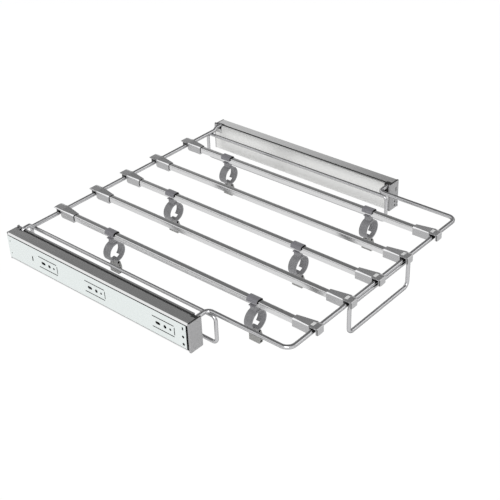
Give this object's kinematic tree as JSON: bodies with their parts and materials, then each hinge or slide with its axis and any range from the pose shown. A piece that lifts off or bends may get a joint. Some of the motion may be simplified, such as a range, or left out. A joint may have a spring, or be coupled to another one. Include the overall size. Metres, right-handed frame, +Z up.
{
  "type": "pull out trouser rack",
  "caption": "Wardrobe trouser rack: sliding bars with ring clips on a wire frame that pulls out between two side boxes with ball-bearing slides.",
  "frame": {"origin": "midway between the cabinet sides, half way along the side boxes, on the centre line of the slides", "axes": "+Z up, -Y towards the user (the pull-out direction), +X to the right as the user sees it"},
  "size_m": [0.464, 0.4885, 0.0711],
  "materials": {
    "zinc_steel": "bright zinc plated",
    "cage_steel": "plain pressed steel",
    "ball_steel": "polished",
    "cover_aluminium": "brushed, anodised",
    "cap_plastic": "light grey, fine grain",
    "wire_chrome": "chrome plated wire",
    "bar_aluminium": "satin anodised",
    "end_plastic": "silver grey moulding",
    "clip_plastic": "grey moulding",
    "rubber": "black"
  },
  "bodies": {
    "fixed_rails": {"outer_rail_left": "zinc_steel", "outer_rail_right": "zinc_steel", "rail_buffer_left": "rubber", "rail_buffer_right": "rubber"},
    "middle_rail_body_left": {"middle_rail_left": "zinc_steel"},
    "outer_cage_body_left": {"outer_cage_left": "cage_steel", "outer_balls_left": "ball_steel"},
    "inner_cage_body_left": {"inner_cage_left": "cage_steel", "inner_balls_left": "ball_steel"},
    "middle_rail_body_right": {"middle_rail_right": "zinc_steel"},
    "outer_cage_body_right": {"outer_cage_right": "cage_steel", "outer_balls_right": "ball_steel"},
    "inner_cage_body_right": {"inner_cage_right": "cage_steel", "inner_balls_right": "ball_steel"},
    "carriage": {"inner_rail_left": "zinc_steel", "rail_screws_left": "cage_steel", "box_cover_left": "cover_aluminium", "front_cap_left": "cap_plastic", "rear_cap_left": "cap_plastic", "side_loop_left": "wire_chrome", "inner_rail_right": "zinc_steel", "rail_screws_right": "cage_steel", "box_cover_right": "cover_aluminium", "front_cap_right": "cap_plastic", "rear_cap_right": "cap_plastic", "side_loop_right": "wire_chrome", "front_wire": "wire_chrome", "rear_wire": "wire_chrome", "handle_loop": "wire_chrome"},
    "bar_body_1": {"bar_1": "bar_aluminium", "bar_1_front_end": "end_plastic", "bar_1_rear_end": "end_plastic"},
    "bar_body_2": {"bar_2": "bar_aluminium", "bar_2_front_end": "end_plastic", "bar_2_rear_end": "end_plastic"},
    "bar_body_3": {"bar_3": "bar_aluminium", "bar_3_front_end": "end_plastic", "bar_3_rear_end": "end_plastic"},
    "bar_body_4": {"bar_4": "bar_aluminium", "bar_4_front_end": "end_plastic", "bar_4_rear_end": "end_plastic"},
    "bar_body_5": {"bar_5": "bar_aluminium", "bar_5_front_end": "end_plastic", "bar_5_rear_end": "end_plastic"},
    "clip_body_1_front": {"clip_1_front": "clip_plastic"},
    "clip_body_1_rear": {"clip_1_rear": "clip_plastic"},
    "clip_body_3_front": {"clip_3_front": "clip_plastic"},
    "clip_body_3_rear": {"clip_3_rear": "clip_plastic"},
    "clip_body_5_front": {"clip_5_front": "clip_plastic"},
    "clip_body_5_rear": {"clip_5_rear": "clip_plastic"}
  },
  "joints": [
    {"name": "pull_out", "type": "slide", "parent": "fixed_rails", "child": "carriage", "axis": [0, -1, 0], "range_m": [0, 0.345]},
    {"name": "middle_rail_travel_left", "type": "slide", "parent": "fixed_rails", "child": "middle_rail_body_left", "axis": [0, -1, 0], "range_m": [0, 0.1725]},
    {"name": "outer_cage_travel_left", "type": "slide", "parent": "fixed_rails", "child": "outer_cage_body_left", "axis": [0, -1, 0], "range_m": [0, 0.08625]},
    {"name": "inner_cage_travel_left", "type": "slide", "parent": "fixed_rails", "child": "inner_cage_body_left", "axis": [0, -1, 0], "range_m": [0, 0.25875]},
    {"name": "middle_rail_travel_right", "type": "slide", "parent": "fixed_rails", "child": "middle_rail_body_right", "axis": [0, -1, 0], "range_m": [0, 0.1725]},
    {"name": "outer_cage_travel_right", "type": "slide", "parent": "fixed_rails", "child": "outer_cage_body_right", "axis": [0, -1, 0], "range_m": [0, 0.08625]},
    {"name": "inner_cage_travel_right", "type": "slide", "parent": "fixed_rails", "child": "inner_cage_body_right", "axis": [0, -1, 0], "range_m": [0, 0.25875]},
    {"name": "bar_1_shift", "type": "slide", "parent": "carriage", "child": "bar_body_1", "axis": [1, 0, 0], "range_m": [-0.03, 0.02]},
    {"name": "bar_2_shift", "type": "slide", "parent": "carriage", "child": "bar_body_2", "axis": [1, 0, 0], "range_m": [-0.02, 0.02]},
    {"name": "bar_3_shift", "type": "slide", "parent": "carriage", "child": "bar_body_3", "axis": [1, 0, 0], "range_m": [-0.02, 0.02]},
    {"name": "bar_4_shift", "type": "slide", "parent": "carriage", "child": "bar_body_4", "axis": [1, 0, 0], "range_m": [-0.02, 0.02]},
    {"name": "bar_5_shift", "type": "slide", "parent": "carriage", "child": "bar_body_5", "axis": [1, 0, 0], "range_m": [-0.02, 0.03]},
    {"name": "clip_1_front_travel", "type": "slide", "parent": "bar_body_1", "child": "clip_body_1_front", "axis": [0, 1, 0], "range_m": [-0.055, 0.12]},
    {"name": "clip_1_rear_travel", "type": "slide", "parent": "bar_body_1", "child": "clip_body_1_rear", "axis": [0, 1, 0], "range_m": [-0.12, 0.063]},
    {"name": "clip_3_front_travel", "type": "slide", "parent": "bar_body_3", "child": "clip_body_3_front", "axis": [0, 1, 0], "range_m": [-0.088, 0.1]},
    {"name": "clip_3_rear_travel", "type": "slide", "parent": "bar_body_3", "child": "clip_body_3_rear", "axis": [0, 1, 0], "range_m": [-0.115, 0.052]},
    {"name": "clip_5_front_travel", "type": "slide", "parent": "bar_body_5", "child": "clip_body_5_front", "axis": [0, 1, 0], "range_m": [-0.067, 0.115]},
    {"name": "clip_5_rear_travel", "type": "slide", "parent": "bar_body_5", "child": "clip_body_5_rear", "axis": [0, 1, 0], "range_m": [-0.13, 0.041]}
  ],
  "couplings": [
    {"joint": "middle_rail_travel_left", "follows": "pull_out", "ratio": 0.5},
    {"joint": "outer_cage_travel_left", "follows": "pull_out", "ratio": 0.25},
    {"joint": "inner_cage_travel_left", "follows": "pull_out", "ratio": 0.75},
    {"joint": "middle_rail_travel_right", "follows": "pull_out", "ratio": 0.5},
    {"joint": "outer_cage_travel_right", "follows": "pull_out", "ratio": 0.25},
    {"joint": "inner_cage_travel_right", "follows": "pull_out", "ratio": 0.75}
  ]
}
